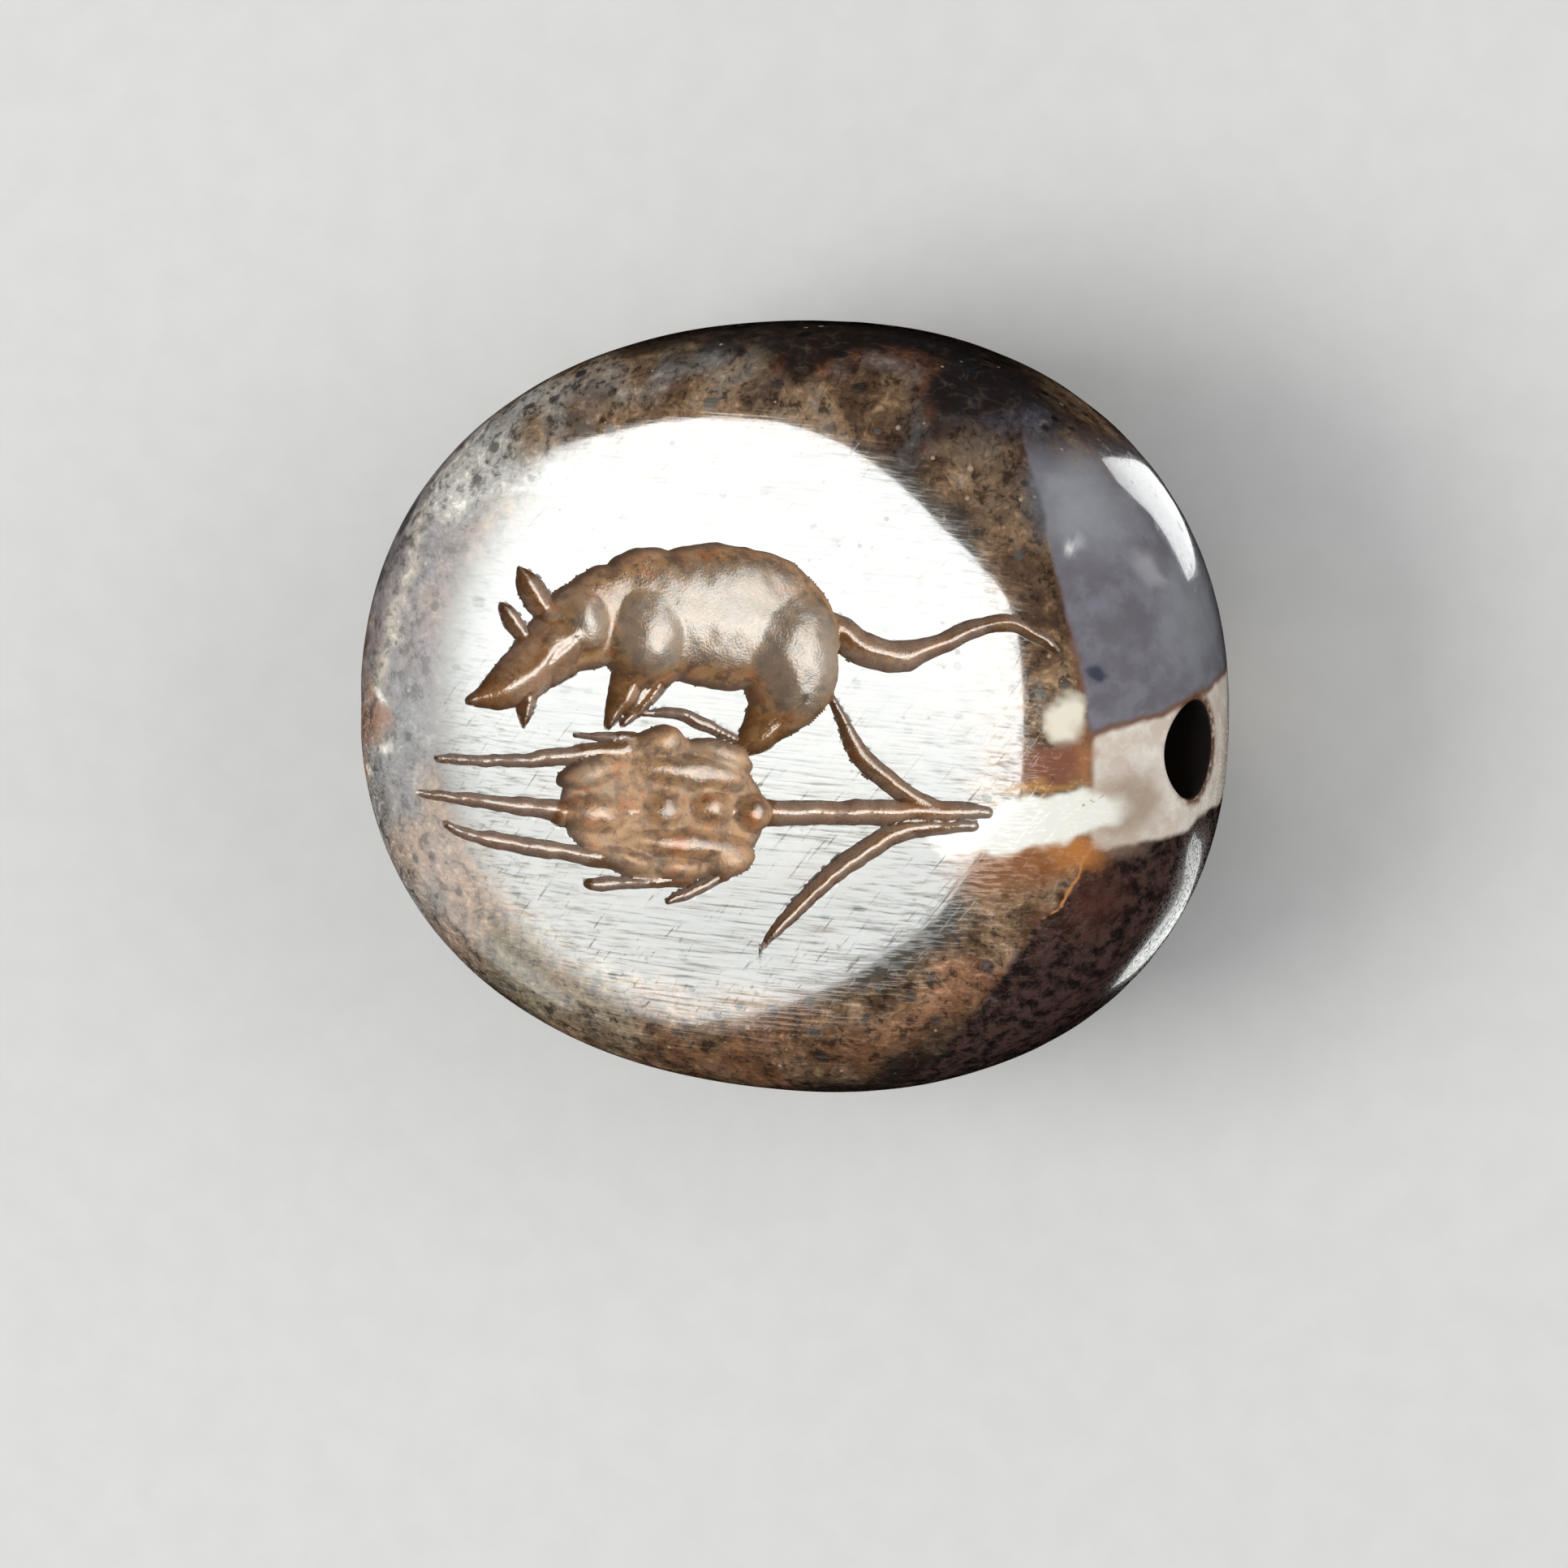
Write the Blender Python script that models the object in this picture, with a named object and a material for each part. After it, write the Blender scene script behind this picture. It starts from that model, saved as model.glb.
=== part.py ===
# Scaraboid seal: one pebble of banded chalcedony with a domed back, a nearly flat
# face, a bore along its length for a cord, and a mouse over an ear of grain cut
# into the face. It lies on its back with the face up.
#
# Frame: metres, +X along the bore towards the end with the pale band, +Y towards
# the mouse's back, +Z out of the face. The origin is under the middle of the
# stone, on the small flat where the back rests.

from math import asin, atan2, copysign, cos, hypot, radians, sin

import bmesh
import bpy
from mathutils import Matrix, Vector

# Driving dimensions in millimetres.
LENGTH = 20.4
WIDTH = 17.7
FACE_HEIGHT = 4.4
BACK_HEIGHT = 5.8
FLAT_RADIUS = 2.3
BORE_RADIUS = 1.1
BORE_ABOVE_GIRTH = 1.25
BORE_SIDE_SHIFT = -0.4
BORE_OVERRUN = 4.0

# The plan is a superellipse that the cutter's hand left a little uneven, with
# three soft corners: how far they swell the radius, and where the first one is.
PLAN_POWER = 2.2
CORNER_SWELL = 0.012
FIRST_CORNER_DEGREES = 68.0
# The profile turns sharply into the face and more softly into the back.
FACE_POWER = 3.4
BACK_POWER = 2.6

# The motif is drawn for a stone of this length and width, and grows with the stone.
DRAWN_LENGTH = 20.4
DRAWN_WIDTH = 17.7
# Hollows ground with a round drill, in millimetres on the face: centre x and y,
# half length, half width, depth, and the turn of the length from +X in degrees.
MOUSE_HOLLOWS = {
    "barrel": (-0.20, 2.28, 2.65, 1.66, 1.05, -3),
    "shoulder": (-2.28, 2.10, 1.35, 1.58, 1.20, 0),
    "neck": (-3.65, 2.00, 1.15, 1.20, 0.70, 0),
    "throat": (-3.66, 1.91, 0.45, 0.60, 0.85, 0),
    "cheek": (-4.55, 1.45, 0.75, 0.36, 0.75, 45),
    "haunch": (1.05, 1.45, 1.50, 1.45, 1.35, 0),
}
GRAIN_HOLLOWS = {
    "ear_bed": (-1.15, -2.15, 2.15, 1.45, 0.30, 0),
    "grain_1": (-3.33, -2.39, 0.60, 0.30, 0.42, 0),
    "grain_2": (-1.89, -2.22, 0.80, 0.33, 0.52, 0),
    "grain_3": (-0.50, -2.14, 0.64, 0.30, 0.52, 0),
    "grain_4": (0.48, -2.15, 0.45, 0.30, 0.46, 0),
    "upper_spikelet": (-1.27, -1.35, 1.55, 0.44, 0.50, 0),
    "upper_grain_left": (-3.30, -1.40, 0.88, 0.38, 0.38, 17),
    "upper_grain_middle": (-1.75, -0.66, 0.62, 0.36, 0.42, 12),
    "upper_grain_right": (-0.15, -0.85, 0.72, 0.36, 0.42, -14),
    "lower_spikelet": (-1.24, -2.85, 1.60, 0.40, 0.48, 0),
    "lower_grain_left": (-2.60, -3.37, 0.75, 0.26, 0.36, -8),
    "lower_grain_middle": (-1.28, -3.48, 0.70, 0.30, 0.40, 0),
    "lower_grain_right": (0.02, -3.25, 0.66, 0.38, 0.42, 16),
}

# Grooves cut with a wheel, in millimetres on the face: x, y and width at each
# turn of the line. A groove is half as deep as it is wide.
MOUSE_GROOVES = {
    "head": (
        (-4.10, 1.65, 1.70), (-4.72, 1.10, 1.50), (-5.50, 0.46, 1.10),
        (-6.10, 0.16, 0.60), (-6.50, 0.05, 0.24),
    ),
    "chin_spur": ((-5.00, 0.45, 0.60), (-5.06, -0.05, 0.46), (-5.08, -0.46, 0.12)),
    "big_ear": ((-5.34, 3.18, 0.14), (-5.12, 2.85, 0.74), (-4.78, 2.38, 0.64), (-4.45, 2.05, 0.40)),
    "small_ear": ((-5.80, 2.30, 0.12), (-5.62, 2.12, 0.44), (-5.30, 1.80, 0.44), (-5.05, 1.50, 0.30)),
    "near_foreleg": ((-2.35, 1.20, 1.10), (-2.62, 0.40, 0.76), (-2.85, -0.05, 0.44), (-2.98, -0.34, 0.22)),
    "far_foreleg": ((-1.60, 1.20, 0.70), (-2.05, 0.40, 0.50), (-2.60, -0.30, 0.20)),
    "hind_leg": ((1.45, 0.70, 1.70), (0.90, -0.02, 1.14), (0.50, -0.50, 0.66), (0.22, -0.70, 0.24)),
    "tail": (
        (1.85, 2.40, 0.56), (2.55, 2.10, 0.68), (3.08, 1.74, 0.76),
        (3.96, 1.59, 0.70), (4.78, 1.86, 0.50), (5.66, 2.27, 0.42),
        (6.40, 2.44, 0.40), (7.11, 2.18, 0.32), (7.50, 1.88, 0.18),
    ),
}
GRAIN_GROOVES = {
    "upper_awn": ((-7.36, -1.33, 0.18), (-5.16, -1.25, 0.36), (-2.53, -0.85, 0.50)),
    "middle_awn": ((-7.89, -2.15, 0.15), (-7.50, -2.21, 0.22), (-5.30, -2.29, 0.42), (-3.50, -2.37, 0.56)),
    "lower_awn": ((-7.14, -2.86, 0.20), (-6.63, -3.03, 0.30), (-4.97, -3.21, 0.42), (-2.92, -3.41, 0.46)),
    "upper_husk_left": ((-3.76, -0.59, 0.12), (-3.03, -0.60, 0.24), (-2.30, -0.59, 0.24)),
    "upper_husk_right": ((-2.24, 0.00, 0.12), (-1.31, 0.02, 0.28), (-0.69, -0.15, 0.28), (0.13, -0.48, 0.24)),
    "lower_husk_left": ((-3.45, -3.97, 0.16), (-3.10, -3.96, 0.32), (-0.94, -3.77, 0.30)),
    "lower_husk_right": ((-1.48, -4.29, 0.14), (-1.10, -4.12, 0.28), (-0.01, -3.58, 0.26)),
    "stalk": ((0.60, -2.13, 0.58), (6.24, -1.80, 0.56)),
    "upper_leaf": (
        (2.40, 0.64, 0.18), (3.03, -0.52, 0.40), (3.68, -1.14, 0.50),
        (4.55, -1.67, 0.50), (5.17, -1.84, 0.40),
    ),
    "lower_leaf": (
        (0.78, -5.23, 0.12), (1.57, -4.36, 0.38), (2.66, -3.29, 0.50),
        (3.50, -2.70, 0.50), (4.22, -2.30, 0.46), (5.80, -2.14, 0.30),
    ),
}

# How finely the round shapes are divided.
STONE_SEGMENTS = 72
STONE_RINGS = 32
BORE_SEGMENTS = 32
HOLLOW_SEGMENTS = 20
HOLLOW_RINGS = 10
GROOVE_SPAN_SEGMENTS = 3
GROOVE_SIDE_SEGMENTS = 2

NAME = "scaraboid_seal"
STONE_COLOUR = (0.30, 0.20, 0.14, 1.0)
STONE_ROUGHNESS = 0.16

MM = 0.001
MOTIF_SCALE = min(LENGTH / DRAWN_LENGTH, WIDTH / DRAWN_WIDTH)
BACK_REACH = FLAT_RADIUS / (LENGTH / 2)
GIRTH = BACK_HEIGHT * (1 - BACK_REACH**BACK_POWER) ** (1 / BACK_POWER)
BORE_AXIS = GIRTH + BORE_ABOVE_GIRTH


def plan_radius(angle):
    """Distance from the middle of the stone to its girth in one direction."""
    along = abs(cos(angle) / (LENGTH / 2)) ** PLAN_POWER
    across = abs(sin(angle) / (WIDTH / 2)) ** PLAN_POWER
    swell = CORNER_SWELL * cos(3 * (angle - radians(FIRST_CORNER_DEGREES)))
    return (along + across) ** (-1 / PLAN_POWER) * (1 + swell)


def face_level(x, y):
    """Height of the polished face over the point x, y, before it is carved."""
    reach = min(hypot(x, y) / plan_radius(atan2(y, x)), 1.0)
    return GIRTH + FACE_HEIGHT * (1 - reach**FACE_POWER) ** (1 / FACE_POWER)


def clear_scene():
    """Remove what is in the scene, so that only the seal is left in the file."""
    for thing in list(bpy.data.objects):
        bpy.data.objects.remove(thing, do_unlink=True)
    for collection in list(bpy.data.collections):
        bpy.data.collections.remove(collection)


def new_collection(name):
    """A collection under the scene's own."""
    collection = bpy.data.collections.new(name)
    bpy.context.scene.collection.children.link(collection)
    return collection


def add_mesh_object(name, shape, collection):
    """Write a bmesh to a new object in a collection, in metres."""
    bmesh.ops.scale(shape, vec=(MM, MM, MM), verts=shape.verts)
    mesh = bpy.data.meshes.new(name)
    shape.to_mesh(mesh)
    shape.free()
    made = bpy.data.objects.new(name, mesh)
    collection.objects.link(made)
    return made


def hide_cutter(cutter):
    """Show a cutter as a wire only, and keep it out of renders."""
    cutter.display_type = "WIRE"
    cutter.hide_render = True


def signed_power(value, power):
    """A power that keeps the sign of its base."""
    return copysign(abs(value) ** power, value)


def make_stone(collection):
    """The uncut pebble: a sphere whose rings are drawn out to the seal's profile."""
    shape = bmesh.new()
    bmesh.ops.create_uvsphere(shape, u_segments=STONE_SEGMENTS, v_segments=STONE_RINGS, radius=1.0)
    for vert in shape.verts:
        latitude = asin(max(-1.0, min(1.0, vert.co.z)))
        around = atan2(vert.co.y, vert.co.x)
        on_face = latitude >= 0
        power = 2 / (FACE_POWER if on_face else BACK_POWER)
        height = FACE_HEIGHT if on_face else BACK_HEIGHT
        reach = max(cos(latitude), 0.0) ** power * plan_radius(around)
        level = GIRTH + signed_power(sin(latitude), power) * height
        vert.co = (reach * cos(around), reach * sin(around), max(level, 0.0))
    stone = add_mesh_object(NAME, shape, collection)
    stone.data.shade_smooth()
    return stone


def cut_bore(collection):
    """The string hole, straight through from end to end."""
    shape = bmesh.new()
    bmesh.ops.create_cone(
        shape,
        cap_ends=True,
        segments=BORE_SEGMENTS,
        radius1=BORE_RADIUS,
        radius2=BORE_RADIUS,
        depth=LENGTH + 2 * BORE_OVERRUN,
    )
    bmesh.ops.rotate(shape, matrix=Matrix.Rotation(radians(90), 3, "Y"), verts=shape.verts)
    bmesh.ops.translate(shape, vec=(0, BORE_SIDE_SHIFT, BORE_AXIS), verts=shape.verts)
    hide_cutter(add_mesh_object("cut_bore", shape, collection))


def cut_hollow(name, size, collection):
    """A drilled hollow: an ellipsoid sunk to its middle in the face."""
    x, y, half_length, half_width, depth = (MOTIF_SCALE * value for value in size[:5])
    turn = size[5]
    shape = bmesh.new()
    bmesh.ops.create_uvsphere(shape, u_segments=HOLLOW_SEGMENTS, v_segments=HOLLOW_RINGS, radius=1.0)
    bmesh.ops.scale(shape, vec=(half_length, half_width, depth), verts=shape.verts)
    bmesh.ops.rotate(shape, matrix=Matrix.Rotation(radians(turn), 3, "Z"), verts=shape.verts)
    bmesh.ops.translate(shape, vec=(x, y, face_level(x, y)), verts=shape.verts)
    hide_cutter(add_mesh_object("cut_" + name, shape, collection))


def smooth_line(points):
    """A Catmull-Rom line through the given points, GROOVE_SPAN_SEGMENTS to a span."""
    guides = [Vector(point) for point in points]
    guides = [2 * guides[0] - guides[1]] + guides + [2 * guides[-1] - guides[-2]]
    line = []
    for before, start, end, after in zip(guides, guides[1:], guides[2:], guides[3:]):
        for step in range(GROOVE_SPAN_SEGMENTS):
            t = step / GROOVE_SPAN_SEGMENTS
            line.append(
                start
                + 0.5 * t * (end - before)
                + t**2 * (before - 2.5 * start + 2 * end - 0.5 * after)
                + t**3 * (1.5 * (start - end) + 0.5 * (after - before))
            )
    line.append(guides[-2])
    return line


def cut_groove(name, turns, collection):
    """A wheel-cut groove: a round tube that tapers with the line's widths."""
    line = smooth_line([MOTIF_SCALE * Vector(turn) for turn in turns])
    curve = bpy.data.curves.new("cut_" + name, "CURVE")
    curve.dimensions = "3D"
    curve.bevel_depth = 1.0
    curve.bevel_resolution = GROOVE_SIDE_SEGMENTS
    curve.use_fill_caps = True
    spline = curve.splines.new("POLY")
    spline.points.add(len(line) - 1)
    for point, (x, y, width) in zip(spline.points, line):
        point.co = (x * MM, y * MM, face_level(x, y) * MM, 1.0)
        point.radius = width / 2 * MM
    tube = bpy.data.objects.new("tube_" + name, curve)
    collection.objects.link(tube)
    evaluated = tube.evaluated_get(bpy.context.evaluated_depsgraph_get())
    mesh = bpy.data.meshes.new_from_object(evaluated)
    bpy.data.objects.remove(tube)
    shape = bmesh.new()
    shape.from_mesh(mesh)
    bmesh.ops.remove_doubles(shape, verts=shape.verts, dist=1e-7)
    shape.to_mesh(mesh)
    shape.free()
    cutter = bpy.data.objects.new("cut_" + name, mesh)
    collection.objects.link(cutter)
    hide_cutter(cutter)


def add_material(stone):
    """Polished brown stone."""
    material = bpy.data.materials.new("stone")
    material.use_nodes = True
    shader = material.node_tree.nodes["Principled BSDF"]
    shader.inputs["Base Color"].default_value = STONE_COLOUR
    shader.inputs["Roughness"].default_value = STONE_ROUGHNESS
    shader.inputs["Metallic"].default_value = 0.0
    stone.data.materials.append(material)


def main():
    clear_scene()
    seal_parts = new_collection(NAME)
    cutters = new_collection("cutters")
    stone = make_stone(seal_parts)
    add_material(stone)
    cut_bore(cutters)
    for name, size in {**MOUSE_HOLLOWS, **GRAIN_HOLLOWS}.items():
        cut_hollow(name, size, cutters)
    for name, turns in {**MOUSE_GROOVES, **GRAIN_GROOVES}.items():
        cut_groove(name, turns, cutters)
    carving = stone.modifiers.new("carving", "BOOLEAN")
    carving.operation = "DIFFERENCE"
    carving.operand_type = "COLLECTION"
    carving.collection = cutters
    carving.solver = "EXACT"


if __name__ == "__main__":
    main()
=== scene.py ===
from math import cos, radians, sin

import bpy
import numpy as np
from bpy.props import FloatProperty, FloatVectorProperty, PointerProperty
from mathutils import Matrix, Vector


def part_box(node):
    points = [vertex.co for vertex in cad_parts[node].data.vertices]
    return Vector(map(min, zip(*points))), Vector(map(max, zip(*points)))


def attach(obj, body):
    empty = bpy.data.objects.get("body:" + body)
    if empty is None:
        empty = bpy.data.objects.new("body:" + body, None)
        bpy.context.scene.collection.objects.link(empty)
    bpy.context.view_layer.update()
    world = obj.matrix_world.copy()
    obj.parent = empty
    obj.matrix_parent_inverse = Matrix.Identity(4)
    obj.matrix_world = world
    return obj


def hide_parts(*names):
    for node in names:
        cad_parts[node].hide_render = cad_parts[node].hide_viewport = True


bl_info = {
    "name": "Scaraboid Seal",
    "version": (1, 0, 0),
    "blender": (4, 5, 0),
    "location": "View3D > Sidebar > Seal",
    "description": "Builds a carved chalcedony seal stone and the stage it is looked at on",
    "category": "Add Mesh",
}

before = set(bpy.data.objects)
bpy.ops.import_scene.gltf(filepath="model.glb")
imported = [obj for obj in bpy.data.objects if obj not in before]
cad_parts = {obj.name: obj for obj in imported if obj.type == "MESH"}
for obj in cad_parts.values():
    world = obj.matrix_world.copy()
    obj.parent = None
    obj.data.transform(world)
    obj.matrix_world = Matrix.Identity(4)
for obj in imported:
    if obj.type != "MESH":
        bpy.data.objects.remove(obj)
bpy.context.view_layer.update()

MM = 0.001
STONE_NODE = "scaraboid_seal"

# The stone, in millimetres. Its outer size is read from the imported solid.
LOW, HIGH = (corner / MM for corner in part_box(STONE_NODE))
LENGTH = HIGH.x - LOW.x
WIDTH = HIGH.y - LOW.y
FACE_HEIGHT = 4.4
GIRTH = HIGH.z - FACE_HEIGHT
BACK_HEIGHT = 5.8
PLAN_POWER = 2.2
CORNER_SWELL = 0.012
FIRST_CORNER = radians(68)
FACE_POWER = 3.4
BACK_POWER = 2.6
BORE_AXIS = GIRTH + 1.25
BORE_SIDE = -0.4

# Hollows ground with a round drill, in millimetres on the face: centre x and y,
# half length, half width, depth, and the turn of the length from +X in degrees.
HOLLOWS = {
    "barrel": (-0.2, 2.28, 2.65, 1.66, 1.05, -3),
    "back": (-2.05, 2.2, 1.55, 1.58, 0.85, 0),
    "shoulder": (-2.31, 1.7, 0.9, 1.16, 1.12, 8),
    "neck": (-3.6, 1.92, 1.2, 1.02, 0.72, 8),
    "nape": (-3.35, 2.62, 0.95, 0.62, 0.62, 32),
    "throat": (-3.8, 1.96, 0.62, 0.8, 0.92, 10),
    "cheek": (-4.55, 1.45, 0.75, 0.36, 0.75, 45),
    "haunch": (1.36, 1.38, 1.22, 1.58, 1.28, 0),
    "ear_bed": (-1.6, -2.15, 2.5, 1.7, 0.4, 0),
    "grain_1": (-3.29, -2.38, 0.82, 0.47, 0.6, 0),
    "grain_2": (-1.69, -2.21, 0.64, 0.47, 0.63, 0),
    "grain_3": (-0.58, -2.1, 0.64, 0.47, 0.63, 0),
    "grain_4": (0.48, -2.15, 0.52, 0.45, 0.61, 0),
    "upper_spikelet": (-1.05, -1.34, 1.6, 0.44, 0.64, -3),
    "upper_grain_left": (-3.35, -1.42, 0.9, 0.36, 0.48, 17),
    "upper_grain_middle": (-1.68, -0.64, 0.64, 0.38, 0.5, 12),
    "upper_grain_right": (-0.2, -0.88, 0.84, 0.38, 0.5, -18),
    "lower_spikelet": (-1.1, -2.96, 1.7, 0.4, 0.62, 0),
    "lower_grain_left": (-2.45, -3.37, 0.8, 0.28, 0.46, -8),
    "lower_grain_middle": (-1.28, -3.5, 0.7, 0.3, 0.48, 0),
    "lower_grain_right": (0, -3.25, 0.7, 0.4, 0.5, 18),
}
# Difference of depth within which two hollows, or a hollow and a groove, are blended, in
# millimetres. A hollow narrower than a millimetre each side of its middle has less.
HOLLOW_BLEND = 0.48
GROOVE_BLEND = 0.12

# Grooves cut with a wheel, in millimetres on the face: x, y and width at each
# turn of the line.
GROOVES = {
    "head": (
        (-4.1, 1.65, 1.7), (-4.72, 1.1, 1.5), (-5.5, 0.46, 1.1),
        (-6.1, 0.16, 0.6), (-6.5, 0.05, 0.24),
    ),
    "chin_spur": ((-5, 0.45, 0.6), (-5.06, -0.05, 0.46), (-5.08, -0.46, 0.12)),
    "big_ear": (
        (-5.36, 3.22, 0.04), (-5.25, 3.04, 0.28), (-5.08, 2.76, 0.58),
        (-4.8, 2.4, 0.64), (-4.45, 2.05, 0.44),
    ),
    "small_ear": (
        (-5.83, 2.33, 0.04), (-5.72, 2.2, 0.24), (-5.54, 2.01, 0.42),
        (-5.3, 1.78, 0.44), (-5.05, 1.5, 0.34),
    ),
    "near_foreleg": ((-2.35, 1.2, 1.1), (-2.62, 0.4, 0.76), (-2.85, -0.05, 0.44), (-2.98, -0.34, 0.22)),
    "far_foreleg": ((-1.6, 1.2, 0.7), (-2.05, 0.4, 0.5), (-2.6, -0.3, 0.2)),
    "hind_leg": ((1.45, 0.7, 1.7), (0.9, -0.02, 1.14), (0.5, -0.5, 0.66), (0.22, -0.7, 0.24)),
    "tail": (
        (1.85, 2.4, 0.56), (2.55, 2.1, 0.68), (3.08, 1.74, 0.76),
        (3.96, 1.59, 0.7), (4.78, 1.86, 0.5), (5.66, 2.27, 0.42),
        (6.4, 2.44, 0.4), (7.11, 2.18, 0.32), (7.5, 1.88, 0.18),
    ),
    "upper_awn": ((-7.36, -1.33, 0.18), (-5.16, -1.25, 0.36), (-2.53, -0.85, 0.5)),
    "middle_awn": ((-7.89, -2.15, 0.15), (-7.5, -2.21, 0.22), (-5.3, -2.29, 0.42), (-3.5, -2.37, 0.56)),
    "lower_awn": ((-7.14, -2.86, 0.2), (-6.63, -3.03, 0.3), (-4.97, -3.21, 0.42), (-2.92, -3.41, 0.46)),
    "upper_husk_left": ((-3.76, -0.59, 0.12), (-3.03, -0.6, 0.24), (-2.3, -0.59, 0.24)),
    "upper_husk_right": (
        (-2.24, 0, 0.12), (-1.31, 0.02, 0.28), (-0.69, -0.15, 0.28), (0.13, -0.48, 0.24),
    ),
    "lower_husk_left": ((-3.45, -3.97, 0.16), (-3.1, -3.96, 0.32), (-0.94, -3.77, 0.3)),
    "lower_husk_right": ((-1.48, -4.29, 0.14), (-1.1, -4.12, 0.28), (-0.01, -3.58, 0.26)),
    "ear_axis": ((-4.1, -2.4, 0.6), (-2.6, -2.3, 0.76), (0.7, -2.13, 0.74)),
    "stalk": ((0.6, -2.13, 0.58), (4.9, -1.88, 0.56), (6.1, -1.81, 0.28)),
    "upper_leaf": (
        (2.4, 0.64, 0.18), (3.03, -0.52, 0.4), (3.68, -1.14, 0.5),
        (4.55, -1.67, 0.5), (5.17, -1.84, 0.4),
    ),
    "lower_leaf": (
        (0.78, -5.23, 0.12), (1.57, -4.36, 0.38), (2.66, -3.29, 0.5),
        (3.5, -2.7, 0.5), (4.22, -2.3, 0.46), (5.8, -2.14, 0.3),
    ),
}
GROOVE_STEPS = 6
# A groove's wall falls with this power of the distance from its middle line.
GROOVE_POWER = 1.6

# Ridges left standing inside the hollows: a line of x, y and width, and the height.
RIDGES = {
    "cheek_bone": (((-4.72, 1, 0.2), (-4.5, 1.3, 0.24), (-4.17, 1.56, 0.18)), 0.05),
    "foreleg_edge": (((-1.86, 0.74, 0.2), (-2.12, 0.36, 0.22), (-2.4, 0.02, 0.14)), 0.1),
    "hind_leg_edge": (((1.42, 0.46, 0.18), (0.88, -0.18, 0.22), (0.3, -0.66, 0.12)), 0.08),
}
# The cutter's unsteady hand: how far the edges wander in millimetres, how uneven the
# floor is as a share of its depth, and the length of the ripple in millimetres.
HAND_WANDER = 0.04
HAND_UNEVEN = 0.05
HAND_RIPPLE = 1.0
RIPPLE_OCTAVES = 3
RIPPLE_WAVES = 4

# Where the grid of the face is fine: first, last and step of each stretch of
# its lines, in millimetres.
FACE_ROWS = ((-8.1, -6.7, 0.08), (-6.7, 2.75, 0.052), (2.75, 7.8, 0.075))
FACE_COLUMNS = ((-5.6, -4.5, 0.09), (-4.5, 4.15, 0.052))
END_ROWS = 34
BACK_COLUMNS = 64
BACK_CROWDING = 0.5
MOUTH_ROWS = 6
BORE_ROWS = 24
# How far below its top the face may be cut, in millimetres, how near a point has to be to
# a cut's edge to move onto it, as a share of a cell, and the least slope squared there.
FACE_DROP = 1.6
SNAP_SHARE = 0.55
LEAST_SLOPE = 0.05
HALVINGS = 44
SHARP_ANGLE = radians(42)


def stretches(spans):
    """Line places over neighbouring spans, each evenly divided at about its own step."""
    parts = [np.linspace(low, high, round((high - low) / step), endpoint=False)
             for low, high, step in spans]
    return np.concatenate(parts + [np.array([spans[-1][1]])])


def plan_radius(angle):
    """Superellipse in polar form, swollen a little at three soft corners."""
    along = np.abs(np.cos(angle) / (LENGTH / 2)) ** PLAN_POWER
    across = np.abs(np.sin(angle) / (WIDTH / 2)) ** PLAN_POWER
    swell = CORNER_SWELL * np.cos(3 * (angle - FIRST_CORNER))
    return (along + across) ** (-1 / PLAN_POWER) * (1 + swell)


def face_level(x, y):
    """Height of the uncut face: a superellipse of the reach from the middle to the girth."""
    reach = np.minimum(np.hypot(x, y) / plan_radius(np.arctan2(y, x)), 1.0)
    return GIRTH + FACE_HEIGHT * (1 - reach**FACE_POWER) ** (1 / FACE_POWER)


def outside(x, y, z):
    """Superellipse norm of a point less one: above zero outside the uncut stone."""
    reach = np.hypot(x, y) / plan_radius(np.arctan2(y, x))
    above = z >= GIRTH
    power = np.where(above, FACE_POWER, BACK_POWER)
    height = np.abs(z - GIRTH) / np.where(above, FACE_HEIGHT, BACK_HEIGHT)
    return reach**power + height**power - 1


def reach_surface(start, way):
    """Points where rays from inside meet the uncut stone, found by halving the span."""
    near = np.zeros(np.broadcast(*start, *way).shape)
    far = near + LENGTH
    for _ in range(HALVINGS):
        middle = (near + far) / 2
        out = outside(*(s + middle * w for s, w in zip(start, way))) > 0
        far = np.where(out, middle, far)
        near = np.where(out, near, middle)
    return [s + near * w for s, w in zip(start, way)]


def smooth_line(points):
    """Catmull-Rom line through x, y, width rows, GROOVE_STEPS to a span."""
    points = np.array(points)
    guides = np.vstack([2 * points[0] - points[1], points, 2 * points[-1] - points[-2]])
    before, start, end, after = (guides[first : first + len(points) - 1, None] for first in range(4))
    t = (np.arange(GROOVE_STEPS) / GROOVE_STEPS)[None, :, None]
    spans = (
        start
        + 0.5 * t * (end - before)
        + t**2 * (before - 2.5 * start + 2 * end - 0.5 * after)
        + t**3 * (1.5 * (start - end) + 0.5 * (after - before))
    )
    return np.vstack([spans.reshape(-1, 3), points[-1]])


def across_line(x, y, line):
    """Distance inside a tapered line's edge, distance from its middle as a share, and half width."""
    inside = np.full(x.shape, -9.0)
    share = np.full(x.shape, 9.0)
    half = np.full(x.shape, 0.1)
    for (x0, y0, w0), (x1, y1, w1) in zip(line, line[1:]):
        run, rise = x1 - x0, y1 - y0
        t = np.clip(((x - x0) * run + (y - y0) * rise) / (run**2 + rise**2), 0, 1)
        here = (w0 + (w1 - w0) * t) / 2
        away = np.hypot(x - x0 - t * run, y - y0 - t * rise)
        closer = here - away > inside
        inside = np.where(closer, here - away, inside)
        share = np.where(closer, away / here, share)
        half = np.where(closer, here, half)
    return inside, share, half


def turned(x, y, degrees):
    """The place as seen from axes turned about +Z."""
    c, s = cos(radians(degrees)), sin(radians(degrees))
    return x * c + y * s, y * c - x * s


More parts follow.
